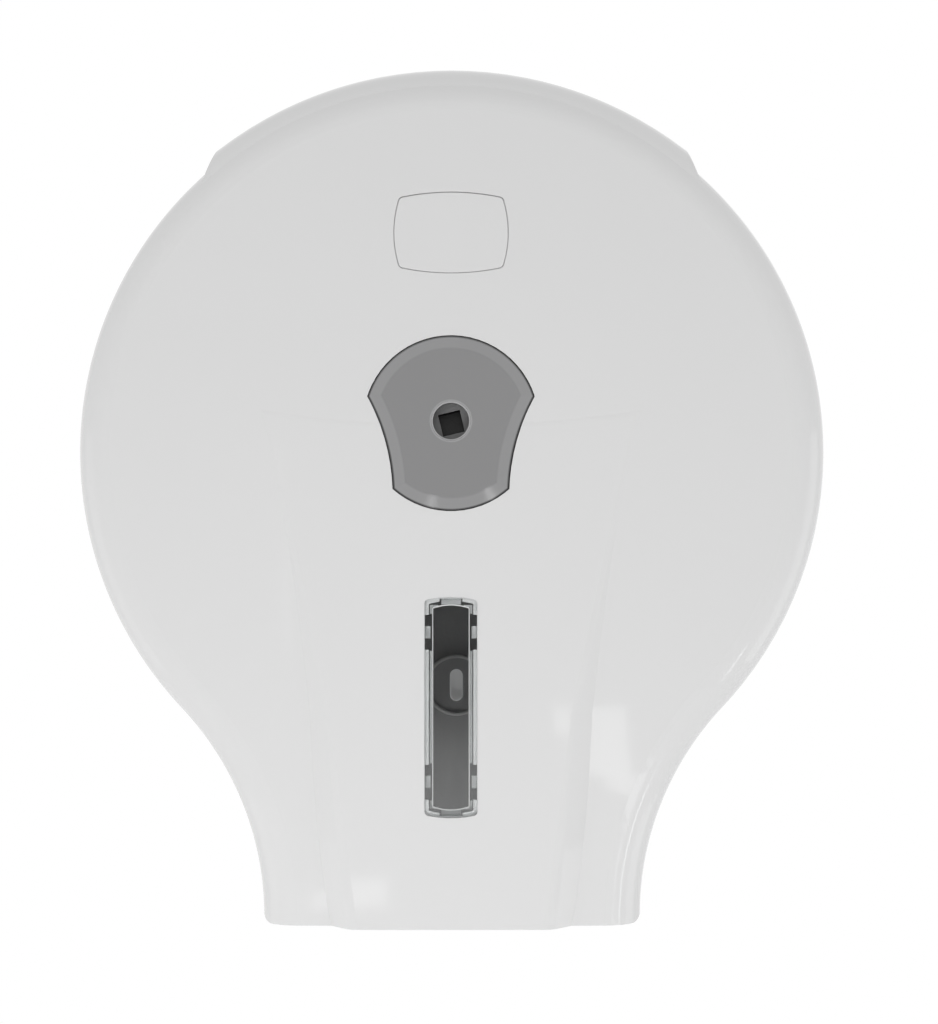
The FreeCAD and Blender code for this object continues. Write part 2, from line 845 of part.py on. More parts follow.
strip_outer = tail_inner_half_width - size.strip_side_gap
strip_tip = tail_inner_half_width - size.mouth_rim - size.tooth_length
strip_rear = size.mouth_rear_reach + size.strip_end_gap
strip_front = mouth_front_reach - size.strip_end_gap
strip_top = floor_height + size.strip_thickness
rivet_count = 3


def rivet_places():
    across = (strip_outer + strip_tip + size.tooth_length) / 2
    step = (strip_front - strip_rear) / rivet_count
    reaches = [strip_rear + step * (index + 0.5) for index in range(rivet_count)]
    return [(across * side, reach, strip_top) for name, side in sides for reach in reaches]


def rivet_hole(name, x, reach):
    hole = doc.addObject("Part::Cylinder", name)
    bind(hole, Radius=size.rivet_radius + size.screw_fit, Height=size.tail_floor + size.overrun * 2)
    return put(hole, x, reach, -tail_drop - size.overrun)


def tear_strips():
    for name, side in sides:
        body = new_body("tear_strip_body_" + name)
        blank = sketch_on(body, "XY_Plane", floor_height)
        draw(blank, [
            (strip_tip * side, -strip_front),
            (strip_outer * side, -strip_front),
            (strip_outer * side, -strip_rear),
            (strip_tip * side, -strip_rear),
        ])
        pad = body.newObject("PartDesign::Pad", body.Name + "_pad")
        pad.Profile = blank
        bind(pad, Length=size.strip_thickness)
        notch = sketch_on(body, "XY_Plane", strip_top)
        first = strip_front - size.tooth_pitch
        draw(notch, [
            (strip_tip * side, -first),
            ((strip_tip + size.tooth_length) * side, -first - size.tooth_pitch / 2),
            (strip_tip * side, -first - size.tooth_pitch),
        ])
        gash = body.newObject("PartDesign::Pocket", body.Name + "_gash")
        gash.Profile = notch
        bind(gash, Length=size.strip_thickness)
        doc.recompute()
        teeth = int((strip_front.value - strip_rear.value) // size.tooth_pitch.value)
        row = body.newObject("PartDesign::LinearPattern", body.Name + "_row")
        row.Originals = [gash]
        row.Direction = (origin_feature(body, "Y_Axis"), [""])
        row.Occurrences = teeth
        bind(row, Length=size.tooth_pitch * (teeth - 1))
        body.Tip = row
        holes = [
            rivet_hole("strip_hole_%s_%d" % (name, index), x, reach)
            for index, (x, reach, z) in enumerate(rivet_places()) if x.value * side > 0
        ]
        finished("tear_strip_" + name, cut("strip_cut_" + name, body, *holes))


def tear_strip_rivets():
    shank = size.strip_thickness + size.tail_floor
    crown = (size.rivet_head_radius * size.rivet_head_radius
             + size.rivet_head_height * size.rivet_head_height) / (size.rivet_head_height * 2)
    body = new_body("rivet_master")
    profile = sketch_on(body, "XZ_Plane", zero)
    draw(profile, [
        (zero, -shank),
        (size.rivet_radius, -shank),
        (size.rivet_radius, zero),
        (size.rivet_head_radius, zero),
        (zero, size.rivet_head_height),
    ], {3: (crown, False, False)})
    turn = body.newObject("PartDesign::Revolution", "rivet_turn")
    turn.Profile = profile
    turn.ReferenceAxis = (origin_feature(body, "Z_Axis"), [""])
    turn.Angle = 360
    finished("tear_strip_rivets", group("rivet_group", copies(body, rivet_places())))


# Window, badge and lock plate

def lens_block(name, side, end, across, up, rear, front):
    """Block behind the lens, its spans counted outwards from the window's centre to one side and end."""
    left, right = [edge * side for edge in (across if side > 0 else reversed(across))]
    low, high = [edge * end - window_drop for edge in (up if end > 0 else reversed(up))]
    return bar(name, left, right, rear, front, low, high)


def lens_legs():
    """Rails, corner rails, barbed clips and barbed tabs behind the lens."""
    wall = size.lens_leg_wall
    rail_rear = panel_inner_reach - size.lens_leg_depth
    barb_front = panel_inner_reach - size.clip_play
    barb_rear = barb_front - size.clip_thickness
    ledge_across = size.window_half_width - size.ledge_width - size.lens_leg_gap
    ledge_up = size.window_half_height - size.window_bow - size.ledge_width - size.lens_leg_gap
    rail_across = (ledge_across - wall, ledge_across)
    rail_up = (ledge_up - wall, ledge_up)
    half_rail = size.rail_length / 2
    clip_outer = size.window_half_width - size.lens_leg_gap
    clip_across = (clip_outer - size.clip_wall, clip_outer)
    clip_barb_across = (clip_outer - size.clip_wall, size.window_half_width + size.clip_overhang)
    clip_up = (size.clip_offset - size.clip_length / 2, size.clip_offset + size.clip_length / 2)
    corner_up = (size.clip_offset + size.notch_length / 2 + size.lens_leg_gap, ledge_up)
    half_tab = size.tab_length / 2
    tab_across = (-half_tab, half_tab)
    tab_outer = size.window_half_height - size.window_bow
    tab_up = (tab_outer - size.clip_wall, tab_outer)
    tab_barb_up = (tab_outer - size.clip_wall, size.window_half_height + size.clip_overhang)
    beside_tab = (half_tab + size.tab_notch_gap + size.lens_leg_gap, ledge_across)
    legs = []
    for side_name, side in sides:
        legs.append(lens_block(
            "lens_rail_" + side_name, side, 1, rail_across, (-half_rail, half_rail), rail_rear, front_reach,
        ))
        for end_name, end in ends:
            name = "%s_%s" % (side_name, end_name)
            legs += [
                lens_block("lens_clip_" + name, side, end, clip_across, clip_up, barb_rear, front_reach),
                lens_block("lens_barb_" + name, side, end, clip_barb_across, clip_up, barb_rear, barb_front),
                lens_block("lens_corner_" + name, side, end, rail_across, corner_up, rail_rear, front_reach),
                lens_block("lens_end_" + name, side, end, beside_tab, rail_up, rail_rear, front_reach),
            ]
    for end_name, end in ends:
        legs += [
            lens_block("lens_tab_" + end_name, 1, end, tab_across, tab_up, barb_rear, front_reach),
            lens_block("lens_tab_barb_" + end_name, 1, end, tab_across, tab_barb_up, barb_rear, barb_front),
        ]
    return legs


def window_lens():
    lens_front = front_reach + size.lens_proud
    lens_rear = front_reach - size.ledge_setback
    face_corners, face_bows = window_outline(zero, zero)
    face = prism("lens_face", face_corners, face_bows, lens_rear, lens_front - lens_rear)
    round_long_edges(face, size.window_corner_radius)
    pane_corners, pane_bows = window_outline(zero, size.lens_border)
    recess = prism("lens_recess", pane_corners, pane_bows, lens_front - size.lens_recess, size.overrun)
    built_up = fuse("lens_built_up", face, *lens_legs())
    finished("window_lens", cut("lens_cut", built_up, recess))


def badge_plate():
    corners, bows = badge_outline(zero)
    rear = crown_reach - size.badge_thickness - size.overrun
    block = prism("badge_blank", corners, bows, rear, front_reach - rear)
    round_long_edges(block, size.badge_corner_radius)
    crowned = common("badge_crowned", block, crown_ball("badge_front_ball", zero))
    finished("badge_plate", cut("badge_cut", crowned, crown_ball("badge_rear_ball", size.badge_thickness)))


def lock_plate():
    corners, bows = lock_plate_outline(zero)
    plate_front = front_reach + size.lock_plate_proud
    body = prism("lock_plate_body", corners, bows, seat_reach, plate_front - seat_reach)
    doc.recompute()
    front_face = max(body.Tip.Shape.Faces, key=lambda face: -face.CenterOfMass.y)
    names = []
    for index, edge in enumerate(body.Tip.Shape.Edges, start=1):
        if any(edge.isSame(border) for border in front_face.Edges):
            names.append("Edge%d" % index)
    bevel = body.newObject("PartDesign::Chamfer", "lock_plate_bevel")
    bevel.Base = (body.Group[-2], names)
    bevel.ChamferType = "Two distances"
    bevel.FlipDirection = True
    bind(bevel, Size=size.bevel_width, Size2=size.bevel_depth)

    hollow_corners, hollow_bows = lock_plate_outline(-size.lock_plate_skirt)
    hollow_front = plate_front - size.bevel_depth - size.lock_plate_front
    hollow = prism("lock_plate_hollow", hollow_corners, hollow_bows, seat_reach - size.overrun,
                   hollow_front - seat_reach + size.overrun)
    sleeve_radius = size.barrel_radius + size.lock_plate_skirt
    root_reach = hollow_front + size.lock_plate_front / 2
    sleeve = peg("key_sleeve", sleeve_radius, seat_reach, root_reach, z=size.lock_rise)
    bosses = []
    holes = []
    for name, side in sides:
        x = size.plate_boss_offset * side
        bosses.append(peg(
            "plate_boss_" + name, size.plate_boss_radius, seat_reach, root_reach, x, size.lock_rise,
        ))
        holes.append(peg(
            "plate_boss_hole_" + name, size.screw_radius + size.screw_fit, seat_reach - size.overrun,
            seat_reach + size.cover_screw_grip + size.screw_fit, x, size.lock_rise,
        ))
    rim = size.key_rim_radius
    key = turned("key_hole", [
        (seat_reach - size.overrun, zero),
        (plate_front + size.overrun, zero),
        (plate_front + size.overrun, size.key_hole_radius + rim),
        (plate_front, size.key_hole_radius + rim),
        (plate_front - rim, size.key_hole_radius),
        (seat_reach - size.overrun, size.key_hole_radius),
    ], {3: (rim, True, False)})
    put(key, z=size.lock_rise)
    hollowed = cut("lock_plate_hollowed", body, hollow)
    built_up = fuse("lock_plate_built_up", hollowed, sleeve, *bosses)
    finished("lock_plate", cut("lock_plate_cut", built_up, key, *holes))


# Lock housing, barrel and latch

def lock_housing():
    bore = size.barrel_radius + size.barrel_fit
    body = turned("lock_housing_body", [
        (seat_reach, bore),
        (seat_reach, size.housing_radius),
        (housing_rear_reach, size.housing_radius),
        (housing_rear_reach, size.housing_tube_radius),
        (housing_end_reach, size.housing_tube_radius),
        (housing_end_reach, size.neck_radius + size.barrel_fit),
        (barrel_rear_reach, size.neck_radius + size.barrel_fit),
        (barrel_rear_reach, bore),
    ])
    put(body, z=size.lock_rise)
    far = seat_reach + size.overrun
    near = housing_rear_reach - size.overrun
    holes = [
        peg("housing_hole_%d" % index, size.screw_radius + size.screw_fit, near, far, x, z)
        for index, (x, reach, z) in enumerate(housing_screw_places)
    ]
    holes += [
        peg("housing_plate_hole_" + name, size.screw_radius + size.screw_fit, near, far,
            size.plate_boss_offset * side, size.lock_rise)
        for name, side in sides
    ]
    finished("lock_housing", cut("lock_housing_cut", body, *holes))


def lock_barrel():
    body = turned("lock_barrel_body", [
        (barrel_front_reach, zero),
        (barrel_front_reach, size.barrel_radius),
        (barrel_rear_reach, size.barrel_radius),
        (barrel_rear_reach, size.neck_radius),
        (neck_end_reach, size.neck_radius),
        (neck_end_reach, zero),
    ])
    put(body, z=size.lock_rise)
    stub_end = neck_end_reach - size.washer_thickness - size.stub_length
    half = size.stub_side / 2
    stub = bar("drive_stub", -half, half, stub_end, neck_end_reach + size.neck_play,
               size.lock_rise - half, size.lock_rise + half)
    socket = doc.addObject("Part::Box", "key_socket")
    bind(socket, Length=size.socket_side, Width=size.socket_depth + size.overrun, Height=size.socket_side)
    turn = -math.radians(size.socket_turn.value)
    socket.Placement.Rotation = FreeCAD.Rotation(FreeCAD.Vector(0, 1, 0), math.degrees(turn))
    half_socket = size.socket_side / 2
    lean = half_socket * (cosine(size.socket_turn) - sine(size.socket_turn))
    rise = half_socket * (cosine(size.socket_turn) + sine(size.socket_turn))
    put(socket, -lean, barrel_front_reach + size.overrun, size.lock_rise - rise)
    thread = peg("latch_thread", size.latch_screw_radius + size.screw_fit, stub_end - size.overrun,
                 washer_rear_reach + size.latch_screw_grip + size.screw_fit, z=size.lock_rise)
    finished("lock_barrel", cut("lock_barrel_cut", fuse("lock_barrel_built_up", body, stub), socket, thread))


def latch_tongue():
    root_disc = peg("latch_root", size.root_radius, root_rear_reach, washer_rear_reach, z=size.lock_rise)
    half_width = size.latch_bar_width / 2
    neck = peg("latch_neck", half_width, latch_rear_reach, washer_rear_reach - size.root_thickness / 2,
               z=size.lock_rise)
    half_length = size.latch_bar_length / 2
    hammer = stadium("latch_hammer", half_width, latch_rear_reach, latch_front_reach,
                     size.lock_rise - half_length, size.lock_rise + half_length)
    half_stub = size.stub_side / 2
    drive = bar("latch_drive", -half_stub, half_stub, washer_rear_reach - size.stub_length - size.screw_fit,
                washer_rear_reach + size.overrun, size.lock_rise - half_stub, size.lock_rise + half_stub)
    bore = peg("latch_bore", size.latch_screw_radius + size.screw_fit, latch_rear_reach - size.overrun,
               washer_rear_reach, z=size.lock_rise)
    finished("latch_tongue", cut("latch_cut", fuse("latch_built_up", root_disc, neck, hammer), drive, bore))


def latch_washer():
    ring = peg("washer_disc", size.washer_radius, washer_rear_reach, neck_end_reach, z=size.lock_rise)
    hole = peg("washer_hole", size.washer_bore_radius, washer_rear_reach - size.overrun,
               neck_end_reach + size.overrun, z=size.lock_rise)
    finished("latch_washer", cut("washer_cut", ring, hole))


def screw(name, radius, head_radius, head_height, length):
    """Domed screw whose head sits at reach zero and whose shank points out from the wall."""
    crown = (head_radius * head_radius + head_height * head_height) / (head_height * 2)
    return turned(name, [
        (length, zero),
        (length, radius),
        (zero, radius),
        (zero, head_radius),
        (-head_height, zero),
    ], {3: (crown, True, False)})


def latch_screw():
    length = washer_rear_reach + size.latch_screw_grip - latch_rear_reach
    body = screw(
        "latch_screw_body", size.latch_screw_radius, size.latch_head_radius, size.latch_head_height, length,
    )
    finished("latch_screw", put(body, reach=latch_rear_reach, z=size.lock_rise))


def cover_screws():
    length = size.housing_flange + size.cover_screw_grip
    master = screw("cover_screw", size.screw_radius, size.screw_head_radius, size.screw_head_height, length)
    finished("lock_housing_screws", group("housing_screw_group", copies(master, housing_screw_places)))
    plate_places = [
        (size.plate_boss_offset * side, housing_rear_reach, size.lock_rise) for name, side in sides
    ]
    finished("lock_plate_screws", group("plate_screw_group", copies(master, plate_places)))


# Spindle, its keeper and their screws

def inward_screw(name, radius, head_radius, head_height, length):
    """Domed screw whose head sits at reach zero and whose shank points at the wall."""
    crown = (head_radius * head_radius + head_height * head_height) / (head_height * 2)
    return turned(name, [
        (-length, zero),
        (head_height, zero),
        (zero, head_radius),
        (zero, radius),
        (-length, radius),
    ], {1: (crown, True, False)})


flange_front_reach = size.plate_base + size.flange_thickness
flange_screw_places = [
    (x, flange_front_reach, size.lock_rise + z) for x, z in around(size.flange_screw_circle, 4, 45)
]
keeper_screw_places = [
    (size.keeper_screw_offset * side, keeper_front_reach, size.lock_rise) for name, side in sides
]


def spindle():
    inner = size.spindle_radius - size.spindle_wall
    body = turned("spindle_body", [
        (size.plate_base, inner),
        (keeper_rear_reach, inner),
        (keeper_rear_reach, size.spindle_radius),
        (flange_front_reach + size.spindle_wall, size.spindle_radius),
        (flange_front_reach, size.spindle_radius + size.spindle_wall),
        (flange_front_reach, size.flange_radius),
        (size.plate_base, size.flange_radius),
    ], {3: (size.spindle_wall, False, False)})
    put(body, z=size.lock_rise)
    bosses = []
    boss_rear = keeper_rear_reach - size.keeper_boss_length
    for index, (x, reach, z) in enumerate(keeper_screw_places):
        post = peg("keeper_post_%d" % index, size.keeper_boss_radius, boss_rear, keeper_rear_reach, x, z)
        wall_side = size.spindle_radius - size.spindle_wall / 2
        left = x if x.value > 0 else -wall_side
        right = wall_side if x.value > 0 else x
        web_half = size.keeper_boss_radius / 2
        web = bar(
            "keeper_web_%d" % index, left, right, boss_rear, keeper_rear_reach, z - web_half, z + web_half,
        )
        bosses += [post, web]
    holes = [
        peg("keeper_thread_%d" % index, size.screw_radius + size.screw_fit,
            keeper_front_reach - size.boss_screw_grip - size.screw_fit,
            keeper_rear_reach + size.overrun, x, z)
        for index, (x, reach, z) in enumerate(keeper_screw_places)
    ]
    holes += [
        peg("flange_hole_%d" % index, size.flange_screw_radius + size.screw_fit, zero,
            flange_front_reach + size.overrun, x, z)
        for index, (x, reach, z) in enumerate(flange_screw_places)
    ]
    finished("spindle", cut("spindle_cut", fuse("spindle_built_up", body, *bosses), *holes))


def spindle_keeper():
    disc = peg("keeper_disc", size.spindle_radius, keeper_rear_reach, keeper_front_reach, z=size.lock_rise)
    half_width = size.latch_bar_width / 2 + size.keeper_slot_side
    high = size.lock_rise + size.latch_bar_length / 2 + size.keeper_slot_above
    low = size.lock_rise - size.latch_bar_length / 2 - size.keeper_slot_below
    slot = stadium("keeper_slot", half_width, keeper_rear_reach - size.overrun,
                   keeper_front_reach + size.overrun, low, high)
    holes = [
        peg("keeper_hole_%d" % index, size.screw_radius + size.screw_fit, keeper_rear_reach - size.overrun,
            keeper_front_reach + size.overrun, x, z)
        for index, (x, reach, z) in enumerate(keeper_screw_places)
    ]
    finished("spindle_keeper", cut("keeper_cut", disc, slot, *holes))


def spindle_screws():
    master = inward_screw("flange_screw", size.flange_screw_radius, size.flange_screw_head_radius,
                          size.flange_screw_head_height, size.flange_thickness + size.flange_screw_grip)
    finished("spindle_screws", group("flange_screw_group", copies(master, flange_screw_places)))


def keeper_screws():
    master = inward_screw("keeper_screw", size.screw_radius, size.screw_head_radius, size.screw_head_height,
                          size.boss_screw_grip)
    finished("keeper_screws", group("keeper_screw_group", copies(master, keeper_screw_places)))


# Back plate

def back_plate():
    inset = size.cover_wall + size.plate_gap
    corners, bows = plate_outline(inset, plate_drop)
    tray = prism("plate_tray", corners, bows, zero, size.plate_rim_height)
    hollow_corners, hollow_bows = plate_outline(inset + size.plate_rim_wall, plate_drop + size.overrun)
    hollow = prism("plate_hollow", hollow_corners, hollow_bows, size.plate_base,
                   size.plate_rim_height + size.overrun)
    shell = cut("plate_shell", tray, hollow)

    tongue_low = -hinge_drop - size.ear_radius
    tongue = bar("plate_tongue", -ear_outer_side, ear_outer_side, zero, size.plate_base,
                 tongue_low, size.overrun - plate_drop)
    added = [tongue]
    holes = []
    for name, side in sides:
        left = ear_inner_side if side > 0 else -ear_outer_side
        right = ear_outer_side if side > 0 else -ear_inner_side
        ear_root = bar("ear_root_" + name, left, right, zero, size.hinge_reach, tongue_low,
                       size.ear_radius - hinge_drop)
        ear_round = axle(
            "ear_round_" + name, size.ear_radius, left, right, size.hinge_reach, -hinge_drop,
        )
        added += [ear_root, ear_round]
        holes.append(axle(
            "ear_hole_" + name, size.hinge_pin_radius, left - size.overrun, right + size.overrun,
            size.hinge_reach, -hinge_drop,
        ))

    ring_inner = size.flange_radius + size.seat_ring_gap
    ring_outer = ring_inner + size.seat_ring_wall
    ring_front = size.plate_base + size.seat_ring_height
    ring = cut(
        "seat_ring",
        peg("seat_ring_disc", ring_outer, size.plate_base / 2, ring_front, z=size.lock_rise),
        peg("seat_ring_hole", ring_inner, zero, ring_front + size.overrun, z=size.lock_rise),
    )
    added.append(ring)

    rib_start = ring_outer + size.lock_rise
    rib_end = size.case_radius - inset - size.plate_rim_wall / 2
    for index in range(4):
        rib = doc.addObject("Part::Box", "plate_rib_%d" % index)
        rib_depth = size.rib_height + size.plate_base / 2
        bind(rib, Length=rib_end - rib_start, Width=rib_depth, Height=size.rib_thickness)
        angle = as_dim(45 + 90 * index)
        rib.Placement.Rotation = FreeCAD.Rotation(FreeCAD.Vector(0, -1, 0), angle.value)
        half = size.rib_thickness / 2
        put(rib, rib_start * cosine(angle) + half * sine(angle), size.plate_base + size.rib_height,
            rib_start * sine(angle) - half * cosine(angle))
        added.append(rib)

    slot_heights = (("lower", -size.lower_slot_drop), ("upper", size.upper_slot_rise))
    pad_front = size.plate_base + size.pad_height
    for name, z in slot_heights:
        added.append(peg("slot_pad_" + name, size.pad_radius, size.plate_base / 2, pad_front, z=z))
        half_slot = size.slot_length / 2
        holes.append(stadium(
            "wall_slot_" + name, size.slot_half_width, -size.overrun, pad_front + size.overrun,
            z - half_slot, z + half_slot,
        ))
    for name, side in sides:
        x = size.side_hole_offset * side
        added.append(peg("side_pad_" + name, size.pad_radius, size.plate_base / 2, pad_front, x))
        holes.append(peg(
            "side_hole_" + name, size.side_hole_radius, -size.overrun, pad_front + size.overrun, x,
        ))
    screw_depth = size.plate_base - size.flange_screw_grip - size.screw_fit
    holes += [
        peg("plate_thread_%d" % index, size.flange_screw_radius + size.screw_fit, screw_depth,
            size.plate_base + size.overrun, x, z)
        for index, (x, reach, z) in enumerate(flange_screw_places)
    ]
    finished("back_plate", cut("plate_cut", fuse("plate_built_up", shell, *added), *holes))


# Hinge pins, headed on the inner face of each ear

def hinge_pins():
    pin_end = tail_inner_half_width + size.pin_bite
    for name, side in sides:
        head_start = ear_inner_side - size.pin_head_height
        shank = axle("pin_shank_" + name, size.hinge_pin_radius, head_start if side > 0 else -pin_end,
                     pin_end if side > 0 else -head_start, size.hinge_reach, -hinge_drop)
        head = axle("pin_head_" + name, size.pin_head_radius, head_start if side > 0 else -ear_inner_side,
                    ear_inner_side if side > 0 else -head_start, size.hinge_reach, -hinge_drop)
        finished("hinge_pin_" + name, fuse("pin_" + name, shank, head))


front_cover()
tear_strips()
tear_strip_rivets()
window_lens()
badge_plate()
lock_plate()
lock_housing()
lock_barrel()
latch_tongue()
latch_washer()
latch_screw()
cover_screws()
spindle()
spindle_keeper()
spindle_screws()
keeper_screws()
back_plate()
hinge_pins()
doc.recompute()

for thing in doc.Objects:
    if "Invalid" in thing.State or "Error" in thing.State:
        raise RuntimeError("%s failed: %s" % (thing.Name, thing.State))
for label, piece in pieces.items():
    if piece.Shape.isNull() or not piece.Shape.isValid():
        raise RuntimeError("%s has no valid shape" % label)

os.makedirs("parts", exist_ok=True)
for label, piece in pieces.items():
    piece.Shape.exportStep("parts/%s.step" % label)
    solids = len(piece.Shape.Solids)
    print("%s: %d solids, %.0f mm3" % (label, solids, piece.Shape.Volume))
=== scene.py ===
import json
import math

import bpy
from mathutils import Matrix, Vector


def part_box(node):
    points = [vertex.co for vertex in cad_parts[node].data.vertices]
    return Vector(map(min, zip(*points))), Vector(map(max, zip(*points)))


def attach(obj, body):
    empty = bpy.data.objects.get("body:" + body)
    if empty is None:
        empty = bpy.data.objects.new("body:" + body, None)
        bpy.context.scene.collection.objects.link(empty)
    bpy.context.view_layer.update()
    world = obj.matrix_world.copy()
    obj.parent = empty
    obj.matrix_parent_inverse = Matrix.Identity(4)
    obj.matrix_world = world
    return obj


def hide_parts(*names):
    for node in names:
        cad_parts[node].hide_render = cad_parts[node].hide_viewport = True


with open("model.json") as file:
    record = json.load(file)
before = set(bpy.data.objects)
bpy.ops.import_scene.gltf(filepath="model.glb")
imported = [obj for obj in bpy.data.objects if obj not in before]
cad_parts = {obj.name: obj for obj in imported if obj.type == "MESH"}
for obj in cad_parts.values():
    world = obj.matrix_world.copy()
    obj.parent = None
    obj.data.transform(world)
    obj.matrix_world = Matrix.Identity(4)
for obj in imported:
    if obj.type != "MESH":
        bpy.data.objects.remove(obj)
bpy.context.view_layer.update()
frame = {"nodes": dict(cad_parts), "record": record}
nodes = frame["nodes"]
print("frame:", len(nodes), "nodes")


def newMaterial(name):
    material = bpy.data.materials.new(name)
    material.use_nodes = True
    tree = material.node_tree
    shader = tree.nodes["Principled BSDF"]
    return material, tree, shader


def newGroup(name, inputs, outputs):
    group = bpy.data.node_groups.new(name, "ShaderNodeTree")
    for socketName, kind, value in inputs:
        socket = group.interface.new_socket(socketName, in_out="INPUT", socket_type=kind)
        socket.default_value = value
    for socketName, kind in outputs:
        group.interface.new_socket(socketName, in_out="OUTPUT", socket_type=kind)
    return group, group.nodes.new("NodeGroupInput"), group.nodes.new("NodeGroupOutput")


# lays a group's colour and roughness on a material
def layOn(tree, shader, group, values):
    node = tree.nodes.new("ShaderNodeGroup")
    node.node_tree = group
    for name, value in values.items():
        node.inputs[name].default_value = value
    tree.links.new(node.outputs["Color"], shader.inputs["Base Color"])
    tree.links.new(node.outputs["Roughness"], shader.inputs["Roughness"])
    return node


def feed(tree, value, socket):
    if isinstance(value, (int, float)):
        socket.default_value = value
    else:
        tree.links.new(value, socket)


def objectPlace(tree):
    return tree.nodes.new("ShaderNodeTexCoord").outputs["Object"]


def noiseNode(tree, vector, scale, detail, roughness=0.5):
    node = tree.nodes.new("ShaderNodeTexNoise")
    feed(tree, scale, node.inputs["Scale"])
    node.inputs["Detail"].default_value = detail
    node.inputs["Roughness"].default_value = roughness
    tree.links.new(vector, node.inputs["Vector"])
    return node.outputs["Fac"]


def mathNode(tree, operation, first, second):
    node = tree.nodes.new("ShaderNodeMath")
    node.operation = operation
    feed(tree, first, node.inputs[0])
    feed(tree, second, node.inputs[1])
    return node.outputs[0]


def aroundZero(tree, noise):
    return mathNode(tree, "SUBTRACT", noise, 0.5)


# base plus the mask's share of an amount
def raised(tree, base, mask, amount):
    return mathNode(tree, "ADD", mathNode(tree, "MULTIPLY", mask, amount), base)


def mappingNode(tree, vector, scale):
    node = tree.nodes.new("ShaderNodeMapping")
    node.inputs["Scale"].default_value = scale
    tree.links.new(vector, node.inputs["Vector"])
    return node


def scaledColor(tree, color, level):
    node = tree.nodes.new("ShaderNodeVectorMath")
    node.operation = "SCALE"
    tree.links.new(color, node.inputs[0])
    tree.links.new(level, node.inputs["Scale"])
    return node.outputs[0]


def lengthNode(tree, vector):
    node = tree.nodes.new("ShaderNodeVectorMath")
    node.operation = "LENGTH"
    tree.links.new(vector, node.inputs[0])
    return node.outputs["Value"]


def rampNode(tree, value, start, end, interpolation="LINEAR"):
    node = tree.nodes.new("ShaderNodeMapRange")
    node.interpolation_type = interpolation
    node.inputs["From Min"].default_value = start
    node.inputs["From Max"].default_value = end
    tree.links.new(value, node.inputs["Value"])
    return node.outputs["Result"]


def bumpNode(tree, height, strength, distance):
    node = tree.nodes.new("ShaderNodeBump")
    node.inputs["Strength"].default_value = strength
    node.inputs["Distance"].default_value = distance
    tree.links.new(height, node.inputs["Height"])
    return node.outputs["Normal"]


def mixShaders(tree, share, first, second, output="Material Output"):
    mix = tree.nodes.new("ShaderNodeMixShader")
    tree.links.new(share, mix.inputs["Fac"])
    tree.links.new(first.outputs[0], mix.inputs[1])
    tree.links.new(second.outputs[0], mix.inputs[2])
    tree.links.new(mix.outputs[0], tree.nodes[output].inputs["Surface"])


# moulded plastic: cloudy tone, wiped gloss and a fine skin
skinLook = {
    "cloudScale": 11.0,
    "cloudDetail": 4.0,
    "wipeScale": 34.0,
    "wipeDetail": 5.0,
    "wipeRoughness": 0.6,
    "wipeStretch": (1.0, 1.0, 0.3),
    "grainDetail": 3.0,
}


def makeMouldedGroup():
    group, given, result = newGroup(
        "mouldedSkin",
        [
            ("Tone", "NodeSocketColor", (0.5, 0.5, 0.5, 1)),
            ("Cloud", "NodeSocketFloat", 0.03),
            ("Gloss", "NodeSocketFloat", 0.25),
            ("Wiping", "NodeSocketFloat", 0.1),
            ("Grain Scale", "NodeSocketFloat", 900.0),
        ],
        [("Color", "NodeSocketColor"), ("Roughness", "NodeSocketFloat"), ("Height", "NodeSocketFloat")],
    )
    place = objectPlace(group)
    cloud = aroundZero(group, noiseNode(group, place, skinLook["cloudScale"], skinLook["cloudDetail"]))
    level = raised(group, 1.0, cloud, given.outputs["Cloud"])
    group.links.new(scaledColor(group, given.outputs["Tone"], level), result.inputs["Color"])
    streaks = noiseNode(
        group, mappingNode(group, place, skinLook["wipeStretch"]).outputs[0],
        skinLook["wipeScale"], skinLook["wipeDetail"], skinLook["wipeRoughness"],
    )
    rough = raised(group, given.outputs["Gloss"], aroundZero(group, streaks), given.outputs["Wiping"])
    group.links.new(rough, result.inputs["Roughness"])
    grain = noiseNode(group, place, given.outputs["Grain Scale"], skinLook["grainDetail"])
    group.links.new(grain, result.inputs["Height"])
    return group


# drawn or cast metal: fine lines along one way and dull patches
metalLook = {
    "lineStretch": (1.0, 0.06, 1.0),
    "lineDetail": 3.0,
    "lineDepth": 0.0002,
    "patchScale": 140.0,
    "patchDetail": 4.0,
    "patchRoughness": 0.6,
    "patchTone": 0.25,
    "patchGloss": 0.3,
}


def makeMetalGroup():
    group, given, result = newGroup(
        "workedMetal",
        [
            ("Tone", "NodeSocketColor", (0.6, 0.6, 0.6, 1)),
            ("Gloss", "NodeSocketFloat", 0.3),
            ("Line Scale", "NodeSocketFloat", 800.0),
        ],
        [("Color", "NodeSocketColor"), ("Roughness", "NodeSocketFloat"), ("Height", "NodeSocketFloat")],
    )
    place = objectPlace(group)
    lines = noiseNode(
        group, mappingNode(group, place, metalLook["lineStretch"]).outputs[0],
        given.outputs["Line Scale"], metalLook["lineDetail"],
    )
    dull = aroundZero(group, noiseNode(
        group, place, metalLook["patchScale"], metalLook["patchDetail"], metalLook["patchRoughness"]))
    level = raised(group, 1.0, dull, metalLook["patchTone"])
    group.links.new(scaledColor(group, given.outputs["Tone"], level), result.inputs["Color"])
    rough = raised(group, given.outputs["Gloss"], dull, metalLook["patchGloss"])
    group.links.new(rough, result.inputs["Roughness"])
    group.links.new(lines, result.inputs["Height"])
    return group


mouldedSkin = makeMouldedGroup()
workedMetal = makeMetalGroup()


